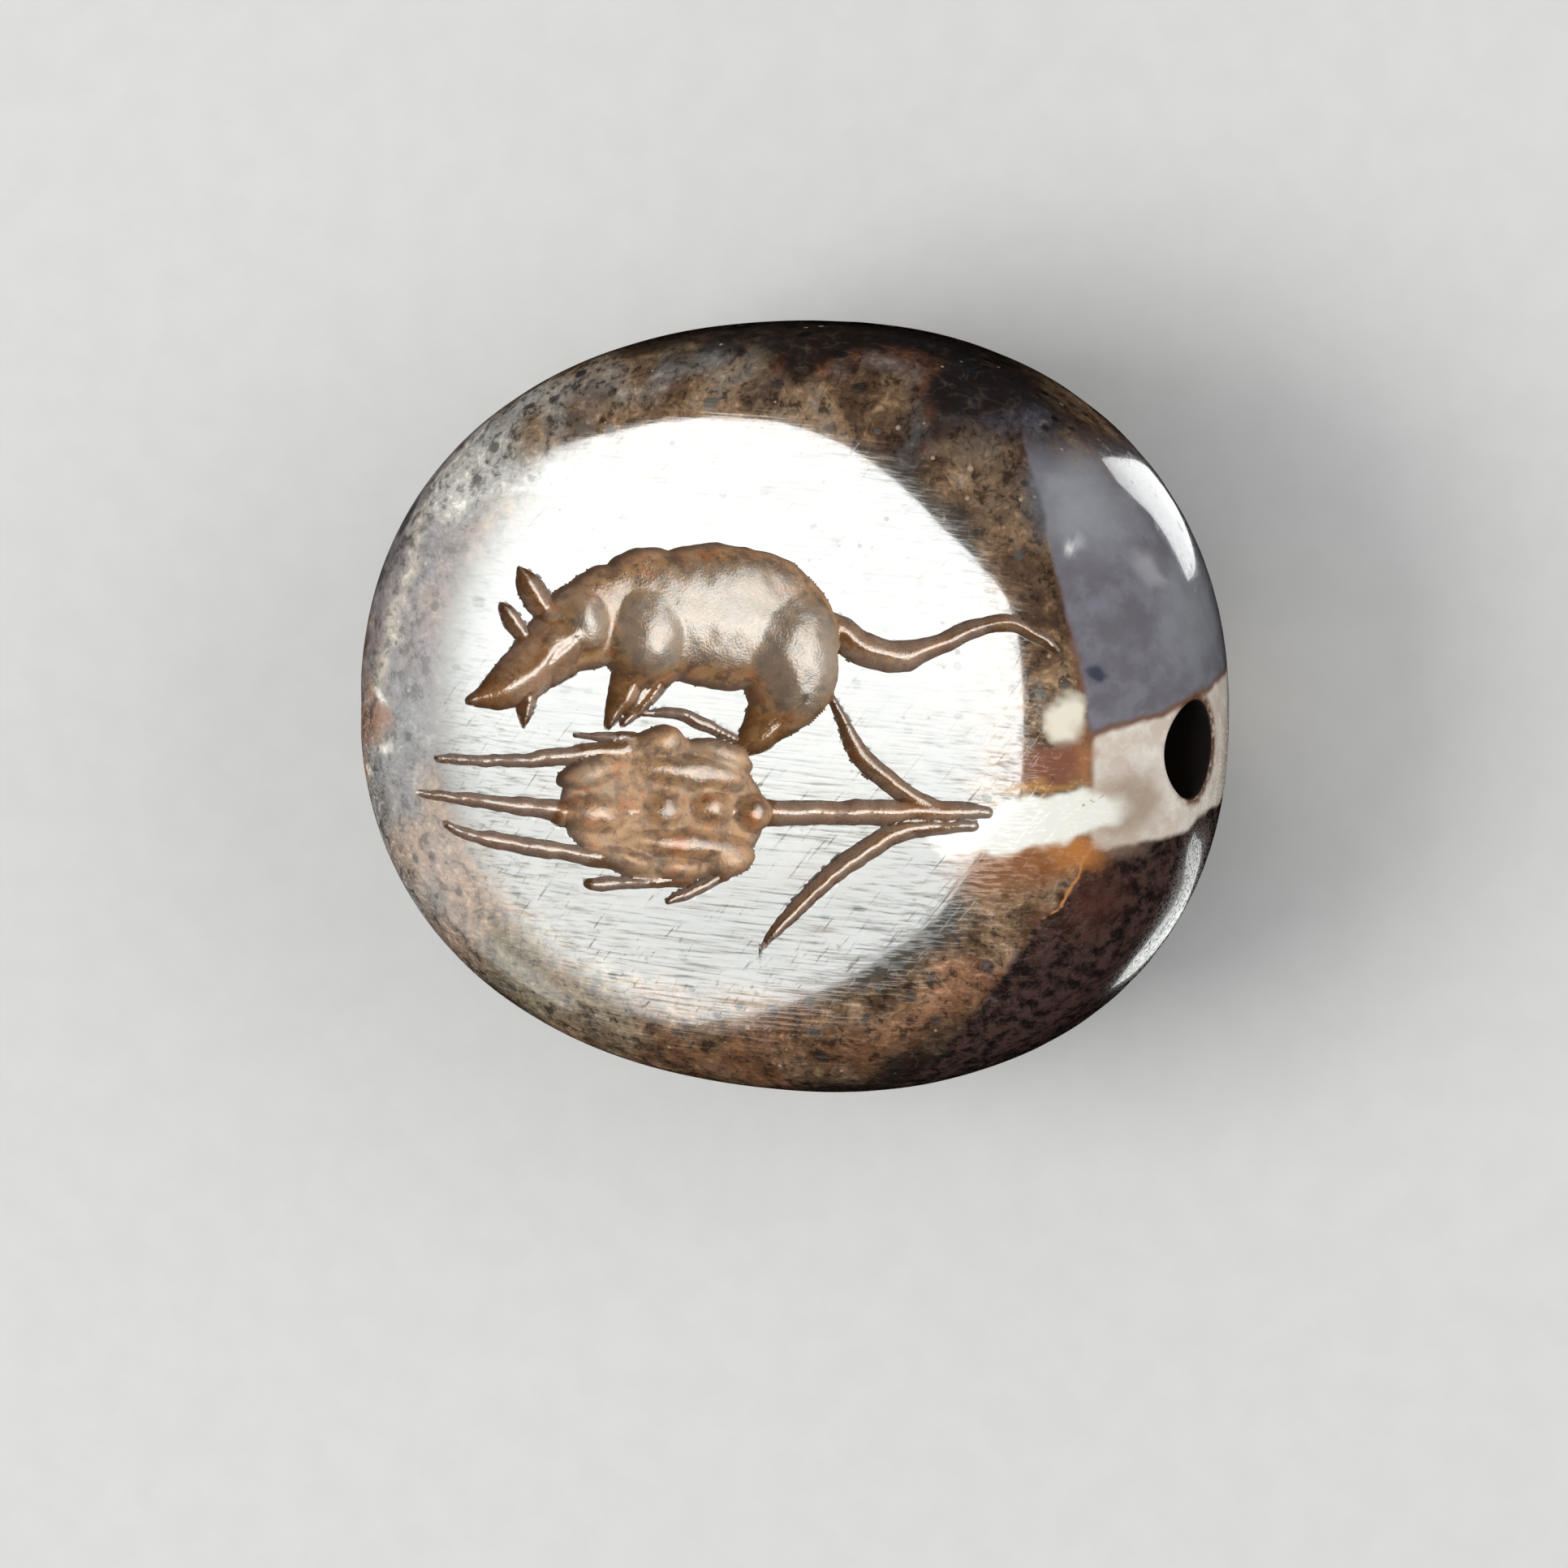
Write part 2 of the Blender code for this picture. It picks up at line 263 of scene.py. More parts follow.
def ripple(x, y, z, size, seed):
    """Uneven waves of about plus and minus a half.

    They are sums of sines in random directions, each octave half as long and half as high.
    """
    chance = np.random.default_rng(seed)
    total = np.zeros(x.shape)
    for octave in range(RIPPLE_OCTAVES):
        for _ in range(RIPPLE_WAVES):
            way = chance.normal(size=3)
            way *= 2 * np.pi / (size * 0.5**octave) / np.linalg.norm(way)
            phase = way[0] * x + way[1] * y + way[2] * z + chance.uniform(0, 2 * np.pi)
            total += 0.5**octave * np.sin(phase)
    return total / RIPPLE_WAVES


def blended(first, second, blend):
    """The larger of two depths, deepened by a squared ramp where they nearly agree."""
    near = np.clip(1 - np.abs(first - second) / blend, 0, 1)
    both = np.clip(np.minimum(first, second) / blend, 0, 1)
    return np.maximum(first, second) + blend / 4 * near**2 * both


def carving(x, y):
    """Distance inside the nearest cut, depth of the deepest one, and one where a wheel made it.

    A hollow is half an ellipsoid. A groove falls from its edge to its middle line
    as one less the distance share to GROOVE_POWER, to a depth of half its width.
    A ridge takes away its height times a squared cosine hump across its line.
    """
    shift_x, shift_y = (HAND_WANDER * ripple(x, y, 0, HAND_RIPPLE, seed) for seed in (1, 2))
    x, y = x + shift_x, y + shift_y
    inside = np.full(x.shape, -9.0)
    depth = np.zeros(x.shape)
    for cx, cy, half_length, half_width, deep, turn in HOLLOWS.values():
        along, across = turned(x - cx, y - cy, turn)
        share = np.hypot(along / half_length, across / half_width)
        inside = np.maximum(inside, (1 - share) * (half_length * half_width) ** 0.5)
        cut = deep * np.sqrt(np.maximum(1 - share**2, 0))
        depth = blended(depth, cut, HOLLOW_BLEND * min(1, half_width))
    wheel = np.zeros(x.shape)
    for turns in GROOVES.values():
        near, share, half = across_line(x, y, smooth_line(turns))
        inside = np.maximum(inside, near)
        cut = half * np.maximum(1 - share**GROOVE_POWER, 0)
        wheel = np.where(cut > depth, 1.0, wheel)
        depth = blended(depth, cut, GROOVE_BLEND)
    for turns, height in RIDGES.values():
        share = across_line(x, y, smooth_line(turns))[1]
        depth = np.maximum(depth - height * np.cos(np.minimum(share, 1) * np.pi / 2) ** 2, 0)
    depth = depth * (1 + HAND_UNEVEN * ripple(x, y, 0, 2 * HAND_RIPPLE, 3))
    return inside, depth, wheel


def snap_to_edges(x, y, cell):
    """Move the points nearest a cut's edge onto it by Newton steps, and say which they are."""
    nudge = 1e-3
    snapped = np.zeros(x.shape, bool)
    for attempt in range(2):
        here = carving(x, y)[0]
        slope_x = (carving(x + nudge, y)[0] - here) / nudge
        slope_y = (carving(x, y + nudge)[0] - here) / nudge
        steep = np.maximum(slope_x**2 + slope_y**2, LEAST_SLOPE)
        near = np.abs(here) < cell * np.sqrt(steep)
        snapped = near if attempt == 0 else snapped
        step = np.where(snapped, here / steep, 0.0)
        x, y = x - step * slope_x, y - step * slope_y
    return x, y, snapped


def mouth_reach(around, side, lip):
    """How far along X the worn lip of the bore's mouth meets the stone, at each angle."""
    start = (0.0, BORE_SIDE + lip * np.sin(around), BORE_AXIS + lip * np.cos(around))
    return reach_surface(start, (side, 0.0, 0.0))[0]


def stone_surface(bore_radius, mouth_wear, carving_share):
    """The whole surface as one closed ring of rows, each a loop round the bore's axis.

    Rays leave the axis square to it along the face, and fan out past its ends to
    the mouths. The rows then turn into a mouth over a quarter round, run back
    through the bore, and come out over the other quarter round. Columns are
    angles round the axis, closest where they cross the carving.
    """
    face_lines = stretches(FACE_COLUMNS)
    face_angles = np.arctan2(face_lines - BORE_SIDE, HIGH.z - BORE_AXIS)
    turn = np.linspace(0, 1, BACK_COLUMNS + 2)[1:-1]
    turn = turn - BACK_CROWDING * np.sin(2 * np.pi * turn) / (2 * np.pi)
    back_angles = face_angles[-1] + (face_angles[0] + 2 * np.pi - face_angles[-1]) * turn
    around = np.concatenate([face_angles, back_angles])
    stations = stretches(FACE_ROWS)
    lip = bore_radius + mouth_wear
    mouths = {side: mouth_reach(around, side, lip) for side in (-1.0, 1.0)}

    fan = np.arange(1, END_ROWS + 1)[:, None] / END_ROWS
    slants = {}
    for side, station in ((-1.0, stations[0]), (1.0, stations[-1])):
        slants[side] = side * fan * (np.pi / 2 - np.arctan2(lip, np.abs(mouths[side] - station)))
    slant = np.vstack([slants[-1.0][::-1], np.zeros((len(stations), len(around))), slants[1.0]])
    row_station = np.pad(stations, END_ROWS, mode="edge")
    radial = np.cos(slant)
    x, y, z = reach_surface((row_station[:, None], BORE_SIDE, BORE_AXIS),
                            (np.sin(slant), radial * np.sin(around), radial * np.cos(around)))
    z = np.maximum(z, 0.0)

    row_step = np.maximum(np.gradient(row_station), FACE_ROWS[0][2] / 2)
    column_step = np.full(len(around), FACE_COLUMNS[0][2])
    column_step[: len(face_lines)] = np.gradient(face_lines)
    cell = SNAP_SHARE * np.maximum(row_step[:, None], column_step[None, :])
    face = z > HIGH.z - FACE_DROP
    x[face], y[face], edge = snap_to_edges(x[face], y[face], cell[face])
    inside, depth, wheel = np.full(x.shape, -1.0), np.zeros(x.shape), np.zeros(x.shape)
    inside[face], depth[face], wheel[face] = carving(x[face], y[face])
    for field in (inside, depth):
        field[face] = np.where(edge, 0.0, field[face])
    z[face] = face_level(x[face], y[face])
    z = z - depth * carving_share
    rows = [(x, y, z, inside, depth, wheel)]

    bend = np.linspace(0, np.pi / 2, MOUTH_ROWS + 1)[1:, None]
    ends = {side: mouths[side] - side * mouth_wear for side in mouths}
    through = np.arange(1, BORE_ROWS)[:, None] / BORE_ROWS
    inner_x = np.vstack([
        mouths[1.0] - mouth_wear * (1 - np.cos(bend)),
        ends[1.0] + (ends[-1.0] - ends[1.0]) * through,
        mouths[-1.0] + mouth_wear * (1 - np.cos(bend[::-1])),
    ])
    lip_radius = lip - mouth_wear * np.sin(bend)
    radius = np.vstack([lip_radius, np.full(through.shape, bore_radius), lip_radius[::-1]])
    radius = np.repeat(radius, len(around), 1)
    none = np.zeros(radius.shape)
    rows.append((inner_x, BORE_SIDE + radius * np.sin(around), BORE_AXIS + radius * np.cos(around),
                 none - 1, none, none))
    return [np.vstack(parts) for parts in zip(*rows)]


def ring_faces(rows, columns):
    """Quads of a grid whose last row and column join the first, wound to face out."""
    row, column = np.meshgrid(np.arange(rows), np.arange(columns), indexing="ij")
    next_row, next_column = (row + 1) % rows, (column + 1) % columns
    corners = [row * columns + column, next_row * columns + column,
               next_row * columns + next_column, row * columns + next_column]
    return np.stack([corner.ravel() for corner in corners], axis=1)


def make_mesh(name, points, faces, fields=None):
    """A mesh from an array of points in millimetres, equal faces, and named point fields."""
    mesh = bpy.data.meshes.new(name)
    mesh.vertices.add(len(points))
    mesh.vertices.foreach_set("co", (points * MM).astype(np.float32).ravel())
    mesh.loops.add(faces.size)
    mesh.loops.foreach_set("vertex_index", faces.astype(np.int32).ravel())
    mesh.polygons.add(len(faces))
    mesh.polygons.foreach_set("loop_start", np.arange(0, faces.size, faces.shape[1], dtype=np.int32))
    mesh.update(calc_edges=True)
    mesh.validate()
    for field, values in (fields or {}).items():
        colour = values.ndim == 2
        layer = mesh.attributes.new(field, "FLOAT_COLOR" if colour else "FLOAT", "POINT")
        layer.data.foreach_set("color" if colour else "value", values.astype(np.float32).ravel())
    return mesh


def add_object(name, data, material=None):
    """An object of the data at the origin, a mesh with one material."""
    made = bpy.data.objects.new(name, data)
    bpy.context.scene.collection.objects.link(made)
    if material:
        data.materials.append(material)
    return made


def tone(*values):
    """A colour given by its screen values of 0 to 255, as the linear colour a shader takes."""
    shares = (value / 255 for value in values)
    return opaque(
        share / 12.92 if share <= 0.04045 else ((share + 0.055) / 1.055) ** 2.4 for share in shares)


def opaque(colour):
    """The colour's three parts and full cover, as a shader takes them."""
    return (*colour, 1.0)


class Graph:
    """Adds nodes to a shader tree and joins them in one call each."""

    def __init__(self, tree):
        self.tree = tree

    def add(self, kind, values=None, **settings):
        node = self.tree.nodes.new(kind)
        for name, value in settings.items():
            setattr(node, name, value)
        self.feed(node, values or {})
        return node

    def feed(self, node, values):
        """Link the node's inputs to sockets, and set the others to plain values."""
        for socket, value in values.items():
            if isinstance(value, bpy.types.NodeSocket):
                self.tree.links.new(value, node.inputs[socket])
            else:
                node.inputs[socket].default_value = value

    def close(self, value, socket):
        """Link a value to a group's output, and give the group."""
        self.tree.links.new(value, socket)
        return self.tree

    def math(self, operation, first, second=0.0):
        return self.add("ShaderNodeMath", {0: first, 1: second}, operation=operation).outputs[0]

    def times(self, first, second):
        return self.math("MULTIPLY", first, second)

    def least(self, value, *others):
        for other in others:
            value = self.math("MINIMUM", value, other)
        return value

    def vector(self, operation, first, second=(0.0, 0.0, 0.0)):
        node = self.add("ShaderNodeVectorMath", {0: first, 1: second}, operation=operation)
        return node.outputs["Value" if operation in ("LENGTH", "DOT_PRODUCT", "DISTANCE") else "Vector"]

    def noise(self, place, scale, detail=4.0, roughness=0.55, out="Fac"):
        values = {"Vector": place, "Scale": scale, "Detail": detail, "Roughness": roughness}
        return self.add("ShaderNodeTexNoise", values).outputs[out]

    def span(self, value, low, high, to_low=0.0, to_high=1.0):
        values = {"Value": value, "From Min": low, "From Max": high,
                  "To Min": to_low, "To Max": to_high}
        return self.add("ShaderNodeMapRange", values, interpolation_type="SMOOTHSTEP").outputs["Result"]

    def mix(self, share, under, over):
        return self.add("ShaderNodeMix", {0: share, 6: under, 7: over}, data_type="RGBA").outputs[2]

    def layered(self, colour, *layers):
        """The colour with tones laid over it in turn: a layer is its share and its tone."""
        for share, *over in layers:
            colour = self.mix(share, colour, tone(*over))
        return colour

    def mix_values(self, share, under, over):
        return self.add("ShaderNodeMix", {0: share, 2: under, 3: over}, data_type="FLOAT").outputs[0]

    def field(self, name):
        return self.add("ShaderNodeAttribute", attribute_name=name).outputs

    def millimetres(self):
        """The place on the object, in millimetres."""
        return self.vector("MULTIPLY", self.add("ShaderNodeTexCoord").outputs["Object"], (1 / MM,) * 3)

    def moved(self, place, way, reach):
        """The place moved along a noise's colour less a half, times the reach."""
        way = self.vector("SUBTRACT", way, (0.5, 0.5, 0.5))
        return self.vector("ADD", place, self.vector("MULTIPLY", way, (reach,) * 3))

    def ramp(self, value, stops):
        node = self.add("ShaderNodeValToRGB", {"Fac": value})
        elements = node.color_ramp.elements
        while len(elements) < len(stops):
            elements.new(0.5)
        for element, stop in zip(elements, stops):
            element.position, element.color = stop
        return node.outputs["Color"]

    def group(self, tree, place, **values):
        return self.add("ShaderNodeGroup", {"Place": place} | values, node_tree=tree).outputs[0]


def new_material(name):
    """A material with nodes: itself, its graph, and its shader."""
    material = bpy.data.materials.new(name)
    material.use_nodes = True
    return material, Graph(material.node_tree), material.node_tree.nodes["Principled BSDF"]


def new_group(name, output, vectors=(), numbers=()):
    """A node group that takes a place and more: its graph, inputs by name, and output."""
    tree = bpy.data.node_groups.new(name, "ShaderNodeTree")
    for kind, sockets in (("Vector", ("Place", *vectors)), ("Float", numbers)):
        for socket in sockets:
            tree.interface.new_socket(socket, in_out="INPUT", socket_type="NodeSocket" + kind)
    tree.interface.new_socket(output, in_out="OUTPUT", socket_type="NodeSocketFloat")
    graph = Graph(tree)
    return graph, graph.add("NodeGroupInput").outputs, graph.add("NodeGroupOutput").inputs[0]


def side_group():
    """Distance in front of a plane: the place's share along its facing, less its offset."""
    graph, given, distance = new_group("band_side", "Distance", ("Facing",), ("Offset",))
    along = graph.vector("DOT_PRODUCT", given["Place"], given["Facing"])
    return graph.close(graph.math("SUBTRACT", along, given["Offset"]), distance)


def hairline_group():
    """Mask of one hair crack: the distance to a straight run, compared with its width."""
    graph, given, mask = new_group("hairline", "Mask", ("Start", "Run", "Share"), ("Width",))
    away = graph.vector("SUBTRACT", given["Place"], given["Start"])
    share = graph.vector("DOT_PRODUCT", away, given["Share"])
    share = graph.add("ShaderNodeClamp", {"Value": share}).outputs[0]
    foot = graph.add("ShaderNodeVectorMath", {0: given["Run"], "Scale": share}, operation="SCALE")
    gap = graph.vector("DISTANCE", away, foot.outputs[0])
    return graph.close(graph.span(gap, 0.0, given["Width"], 1.0, 0.0), mask)


def speck_group():
    """Mask of scattered round specks: near enough to a random cell's point, in a share of the cells."""
    graph, given, mask = new_group("specks", "Mask", numbers=("Cells", "Size", "Share"))
    cells = graph.add("ShaderNodeTexVoronoi", {"Vector": given["Place"], "Scale": given["Cells"]})
    draw = graph.add("ShaderNodeSeparateColor", {0: cells.outputs["Color"]}).outputs
    size = graph.times(given["Size"], graph.math("ADD", draw[1], 0.35))
    dot = graph.span(graph.math("DIVIDE", cells.outputs["Distance"], size), 0.55, 1.0, 1.0, 0.0)
    kept = graph.math("LESS_THAN", draw[0], given["Share"])
    return graph.close(graph.times(dot, kept), mask)


def swirl_group():
    """Agate lines: level lines of a slow noise, so many to its whole range, each a soft ridge."""
    graph, given, value = new_group("agate_lines", "Value", numbers=("Scale", "Lines"))
    field = graph.noise(given["Place"], given["Scale"], 2.0, 0.5)
    level = graph.math("FRACT", graph.times(field, given["Lines"]))
    ridge = graph.math("ABSOLUTE", graph.math("SUBTRACT", level, 0.5))
    return graph.close(graph.times(ridge, 2.0), value)


def streak_group():
    """Fine polishing streaks: noise drawn far out along one direction of the face."""
    graph, given, height = new_group(
        "polish_streaks", "Height", numbers=("Turn", "Length", "Spacing", "Sparseness"))
    angle = graph.times(given["Turn"], -radians(1))
    turned = graph.add("ShaderNodeVectorRotate", {"Vector": given["Place"], "Angle": angle},
                       rotation_type="Z_AXIS")
    fine = graph.math("DIVIDE", 1.0, given["Spacing"])
    scale = graph.add("ShaderNodeCombineXYZ", {"X": graph.math("DIVIDE", 1.0, given["Length"]),
                                               "Y": fine, "Z": fine})
    grain = graph.noise(graph.vector("MULTIPLY", turned.outputs[0], scale.outputs[0]), 1.0, 3.0, 0.6)
    return graph.close(graph.span(grain, given["Sparseness"], 0.8), height)


# Patches of colour in the brown stone: centre and half sizes in millimetres, turn
# about +Z in degrees, softness of the edge, strength and tone. Later ones lie
# over earlier ones.
BODY_PATCHES = {
    "lilac_left_end": ((-8.4, 2.4, 7.6), (2.7, 4.8, 3.6), 24, 0.45, 0.85, (126, 120, 122)),
    "blue_grey_left": ((-8.6, -2.4, 8.2), (1.6, 3, 2.6), -14, 0.55, 0.8, (122, 122, 122)),
    "tan_lower_left": ((-7, -4.4, 9), (1.5, 1.7, 1.6), -40, 0.6, 0.85, (158, 132, 112)),
    "olive_foot_left": ((-4.6, -6.4, 8.9), (2.2, 1.1, 1.5), -24, 0.6, 0.8, (138, 128, 106)),
    "grey_left_brow": ((-6.4, 5.7, 9), (1.9, 0.9, 1.1), 38, 0.6, 0.9, (186, 184, 176)),
    "cream_upper_left": ((-7.9, 4.6, 8.7), (0.65, 1.6, 0.9), -38, 0.8, 0.85, (206, 200, 188)),
    "cream_left_middle": ((-8.7, 1.6, 8.9), (0.4, 2.2, 0.8), -8, 0.8, 0.75, (196, 182, 160)),
    "dark_left_rim": ((-9.3, 3.6, 7.6), (0.45, 1.2, 1.2), -22, 0.5, 0.9, (38, 36, 38)),
    "orange_left": ((-9.35, -0.2, 8.3), (0.35, 1.1, 0.8), 4, 0.6, 0.85, (150, 92, 44)),
    "white_left": ((-9, -0.7, 8.8), (0.14, 0.8, 0.4), 4, 0.5, 0.8, (226, 220, 206)),
    "dark_top": ((0.8, 8.9, 6.8), (8.2, 1.9, 3), -5, 0.4, 0.95, (30, 26, 25)),
    "dark_top_right": ((5.4, 6.9, 7.9), (3.6, 1.4, 1.7), -38, 0.5, 0.95, (34, 32, 34)),
    "black_spot_top": ((4.9, 6.62, 9.1), (0.5, 0.36, 0.6), 20, 0.5, 0.95, (16, 16, 18)),
    "black_mark_top_left": ((-1.9, 8.05, 8.6), (0.34, 0.26, 0.5), 6, 0.6, 0.95, (14, 16, 20)),
    "black_mark_top": ((-1.15, 8.1, 8.65), (0.36, 0.24, 0.5), 6, 0.6, 0.95, (14, 16, 20)),
    "grey_top_left": ((-2.6, 7.4, 9), (2.4, 0.6, 0.8), 8, 0.8, 0.65, (138, 136, 132)),
    "light_upper_right": ((6.1, 4.8, 9.5), (0.9, 1.1, 0.6), 30, 0.8, 0.55, (150, 124, 100)),
    "red_swirl_top": ((2.2, 7.55, 8.9), (2.6, 0.34, 0.6), -10, 0.7, 0.75, (118, 70, 44)),
    "grey_swirl_top": ((3, 7.1, 9.1), (2, 0.26, 0.5), -14, 0.8, 0.6, (120, 118, 116)),
    "blue_haze_top_right": ((6.9, 5.9, 8.7), (1.7, 0.6, 0.8), -42, 0.7, 0.6, (96, 94, 104)),
    "red_brown_foot": ((2.2, -7.4, 8.6), (6.2, 1, 1.4), 14, 0.6, 0.85, (116, 78, 52)),
    "peach_foot": ((4.8, -5.9, 9.35), (0.85, 0.55, 0.6), 20, 0.7, 0.85, (176, 130, 98)),
    "dark_foot": ((3.6, -8.5, 6.6), (7.5, 1.5, 2.4), 18, 0.4, 0.95, (28, 21, 18)),
    "dark_foot_right": ((7.5, -6.4, 7.4), (2.7, 1, 2.2), 36, 0.4, 0.95, (30, 24, 22)),
    "rose_foot_right": ((6.2, -5.2, 9.2), (1.3, 0.55, 0.7), 30, 0.6, 0.6, (140, 92, 68)),
}
# Patches over the pale, grey and dark bands at the +X end. The last three are painted reflections and
# highlights on the grey band, not colours of the stone.
END_PATCHES = {
    "warm_middle": ((9, -1.6, 8.8), (0.9, 0.8, 1), 20, 0.7, 0.9, (178, 156, 134)),
    "honey_wedge": ((7.1, -2.95, 9.4), (1.45, 0.5, 0.9), 12, 0.9, 0.85, (150, 94, 54)),
    "honey_left": ((6.1, -3.2, 9.5), (0.7, 0.6, 0.7), 12, 0.8, 0.6, (150, 108, 80)),
    "honey_glow": ((8, -2.72, 9.2), (0.4, 0.3, 0.6), 10, 0.9, 0.8, (206, 134, 70)),
    "honey_edge": ((7.1, -2.58, 9.6), (1.15, 0.13, 0.5), 10, 1, 0.75, (206, 146, 90)),
    "pale_tongue": ((7, -2.08, 9.5), (2.3, 0.58, 1.2), 13, 0.22, 1, (255, 252, 240)),
    "pale_bead": ((7.78, 0.36, 9.5), (0.4, 0.62, 0.6), -6, 0.35, 1, (248, 240, 218)),
    "rose_patch": ((7.5, -0.66, 9.5), (0.8, 0.48, 0.6), 8, 0.5, 0.95, (140, 92, 72)),
    "honey_rim_right": ((8.2, -0.66, 9.3), (0.18, 0.52, 0.5), 10, 1, 0.7, (186, 124, 82)),
    "honey_rim_below": ((7.3, -1.16, 9.6), (0.75, 0.1, 0.4), 6, 1, 0.85, (196, 146, 84)),
    "red_heart_of_dark": ((8.3, -3.9, 8.7), (0.85, 0.5, 0.8), 35, 0.6, 0.55, (92, 54, 44)),
    "white_dot": ((7.67, 4.12, 9.1), (0.17, 0.17, 0.3), 0, 0.4, 1, (232, 230, 226)),
    "blue_dot": ((8.37, 1.34, 9.2), (0.17, 0.22, 0.3), 0, 0.4, 0.95, (66, 70, 84)),
    # Painted reflections: a light streak, a light grey sheen and a grey highlight on the grey band.
    "painted_white_reflection": ((9.05, 3.7, 7.8), (0.6, 0.12, 0.6), -50, 0.8, 0.55, (190, 188, 192)),
    "painted_sheen_right": ((9.8, 2.7, 6.6), (0.5, 1.3, 1.6), 10, 0.8, 0.55, (158, 162, 166)),
    "painted_grey_highlight": ((7.7, 5, 8.4), (1, 0.9, 1), -40, 0.8, 0.55, (176, 180, 184)),
}

# How far the outlines of the patches wander, and the length of that ripple, in millimetres.
BODY_SWIRL = (1.1, 3.2)
END_SWIRL = (0.16, 0.9)

STONE_IOR = 1.54
# Where the top of the face is painted grey, the neutral tone of the glare it mirrors (painted
# reflection): the spans of height and length over which it sets in.
GREYED_UP = (9.55, 9.8)
GREYED_ALONG = (6.3, 5.4)
# The painted shade inside the bore and the stain round it: the distances from the axis over which each
# ends, and how far below the axis the middle of the stain lies, in millimetres.
HOLE_EDGE = (1.12, 1.17)
STAIN_EDGE = (1.14, 1.42)
STAIN_DROP = 0.16
# How many times lighter the pale grain is than the stone round it: red, green and blue.
PALE_GRAIN = (2.0, 2.0, 1.95)
# The gloss of the stone under its polish, and how full the polish is where nothing wore it.
UNDERCOAT_GLOSS = 0.62
FACE_COAT = 0.62

# The flat sides that bound the bands: facing into the band, and offset in millimetres.
BAND_SIDES = {
    "grey_left": ((0.888, 0.212, -0.408), 3.54),
    "grey_below": ((-0.163, 0.964, 0.21), 0.582),
    "grey_above": ((-0.141, -0.99, -0.018), -7.322),
    "pale_left": ((0.893, 0.028, -0.45), 3.317),
    "dark_above": ((-0.078, -0.974, -0.214), -0.09),
    "dark_left": ((0.729, -0.51, -0.457), 3.284),
}

# Lines of hair cracks, veins, dark specks and scratches: start and end in
# millimetres, and half width.
CRACKS = (
    ((8.1, -1.42, 9.3), (8.4, -1.52, 9.2), 0.034),
    ((8.4, -1.52, 9.2), (9.3, -0.6, 8.6), 0.03),
    ((8.2, -1.6, 9.3), (7, -2.3, 9.6), 0.034),
    ((9, -2.1, 8.7), (8.5, -2.5, 9), 0.034),
)
VEINS = (
    ((8.36, -2.51, 9.13), (8.05, -3.22, 9.16), 0.06),
    ((8.05, -3.22, 9.16), (7.69, -3.89, 9.18), 0.07),
    ((7.69, -3.89, 9.18), (7.3, -4.2, 9.24), 0.05),
)
SPECKS = (
    ((7.05, -0.86, 9.6), (7.07, -0.88, 9.6), 0.12),
    ((7.48, -0.98, 9.5), (7.5, -1, 9.5), 0.1),
    ((6.24, -4.25, 9.4), (6.4, -4.22, 9.4), 0.17),
    ((6, -4.7, 9.4), (6.08, -4.68, 9.4), 0.1),
    ((6.62, 0.2, 9.7), (6.7, 0.4, 9.7), 0.08),
)
SCRATCHES = (
    ((-1.35, 4, 9.9), (-1.46, 4.46, 9.9), 0.026),
    ((3.22, 2.04, 9.9), (3.36, 2.85, 9.9), 0.028),
    ((3.66, 0.17, 10), (4.7, -0.55, 10), 0.028),
    ((4.7, -0.55, 10), (5.95, -1.6, 9.9), 0.026),
    ((2.78, -3.6, 9.9), (2.6, -4.25, 9.9), 0.028),
    ((2.6, -4.25, 9.9), (1.8, -5.15, 9.9), 0.026),
    ((-6.9, 2.7, 9.6), (-6.1, 2.2, 9.7), 0.026),
    ((-5.35, -0.9, 9.9), (-5.1, -0.46, 9.9), 0.028),
)
# Polishing streaks: turn in degrees, length and spacing in millimetres, and sparseness.
STREAKS = ((-2.0, 1.4, 0.07, 0.4), (52.0, 1.8, 0.09, 0.58))


def tint(points, patches):
    """Colour and cover of soft patches laid one over another.

    A patch is full inside an ellipsoid and falls to nothing across its soft edge.
    """
    laid = np.zeros((len(points), 4))
    for centre, half_size, turn, softness, strength, colour in patches.values():
        x, y, z = (points - centre).T
        away = np.stack([*turned(x, y, turn), z], axis=1)
        reach = np.linalg.norm(away / half_size, axis=1)
        share = np.clip((1 + softness - reach) / (2 * softness), 0, 1)
        cover = (strength * share**2 * (3 - 2 * share))[:, None]
        laid = laid * (1 - cover) + cover * np.array(tone(*colour))
    laid[:, :3] /= np.maximum(laid[:, 3:], 1e-4)
    return laid


def swirled(points, reach, size):
    """The points moved about by slow ripples, so that patches get uneven outlines."""
    moved = [reach * ripple(*points.T, size, seed) for seed in (11, 12, 13)]
    return points + np.stack(moved, axis=1)


def strongest(graph, tree, place, runs):
    """The strongest of several hairline masks."""
    total = 0.0
    for start, end, width in runs:
        run = Vector(end) - Vector(start)
        share = run / run.length_squared
        line = graph.group(tree, place, Start=start, Run=run, Share=share, Width=width)
        total = graph.math("MAXIMUM", total, line)
    return total


